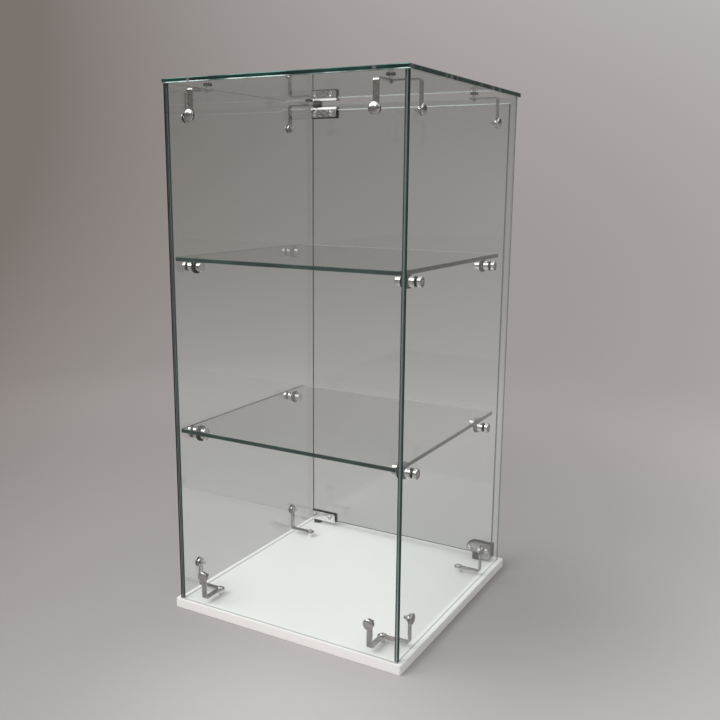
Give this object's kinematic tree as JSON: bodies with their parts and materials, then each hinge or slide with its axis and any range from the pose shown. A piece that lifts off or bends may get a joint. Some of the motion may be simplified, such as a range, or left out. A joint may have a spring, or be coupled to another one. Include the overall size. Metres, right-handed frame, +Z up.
{
  "type": "glass display case",
  "caption": "Counter-top frameless glass display case: glass walls, top and shelves on a white board, joined by bent metal corner arms, with a pivoting, locking glass rear door.",
  "frame": {"origin": "middle of the board's underside, on the surface the case stands on", "axes": "+X to the right seen from the front, +Y from the front wall to the rear door, +Z up"},
  "size_m": [0.4, 0.405, 0.8086],
  "materials": {
    "board": "white melamine-faced board with a faint satin sheen",
    "glass": "clear float glass with ground, green-showing edges",
    "chrome": "polished chrome plate",
    "plated_metal": "chrome plate on a die casting, a little duller than the bolts",
    "satin_metal": "turned metal",
    "rubber": "black rubber",
    "black_nylon": "black nylon",
    "bolt_black": "black oxide"
  },
  "bodies": {
    "case": {"base_board": "board", "front_panel": "glass", "left_panel": "glass", "right_panel": "glass", "top_panel": "glass", "lower_shelf": "glass", "upper_shelf": "glass", "low_fl_arm": "chrome", "low_fr_arm": "chrome", "low_rl_arm": "chrome", "low_rr_arm": "chrome", "top_fl_arm": "chrome", "top_fr_arm": "chrome", "top_rl_arm": "chrome", "top_rr_arm": "chrome", "wall_bolts": "chrome", "wall_nuts": "chrome", "base_spacers": "chrome", "base_screws": "chrome", "top_bolts": "chrome", "top_washers": "black_nylon", "top_spacers": "chrome", "top_nuts": "chrome", "support_spools": "chrome", "support_rings": "rubber", "support_washers": "black_nylon", "support_caps": "chrome", "lower_bush": "black_nylon", "upper_bush": "black_nylon"},
    "door": {"door_panel": "glass", "lower_hinge_body": "plated_metal", "lower_hinge_plate": "plated_metal", "lower_hinge_pads": "rubber", "lower_hinge_screws": "chrome", "lower_hinge_pin": "chrome", "upper_hinge_body": "plated_metal", "upper_hinge_plate": "plated_metal", "upper_hinge_pads": "rubber", "upper_hinge_screws": "chrome", "upper_hinge_pin": "chrome", "lock_case": "plated_metal", "lock_body": "plated_metal", "lock_pads": "rubber", "lock_screws": "chrome"},
    "lock_barrel": {"lock_barrel": "satin_metal"},
    "lock_bolt": {"lock_bolt": "bolt_black"}
  },
  "joints": [
    {"name": "door_swing", "type": "hinge", "parent": "case", "child": "door", "pos_m": [-0.173, 0.184, 0.4075], "axis": [0, 0, 1], "range_deg": [0, 110]},
    {"name": "lock_turn", "type": "hinge", "parent": "door", "child": "lock_barrel", "pos_m": [0.16, 0.19, 0.034], "axis": [0, -1, 0], "range_deg": [0, 90]},
    {"name": "bolt_slide", "type": "slide", "parent": "door", "child": "lock_bolt", "axis": [0, 0, -1], "range_m": [0, 0.007]}
  ],
  "couplings": [
    {"joint": "lock_turn", "follows": "bolt_slide", "rad_per_m": 224.4}
  ]
}
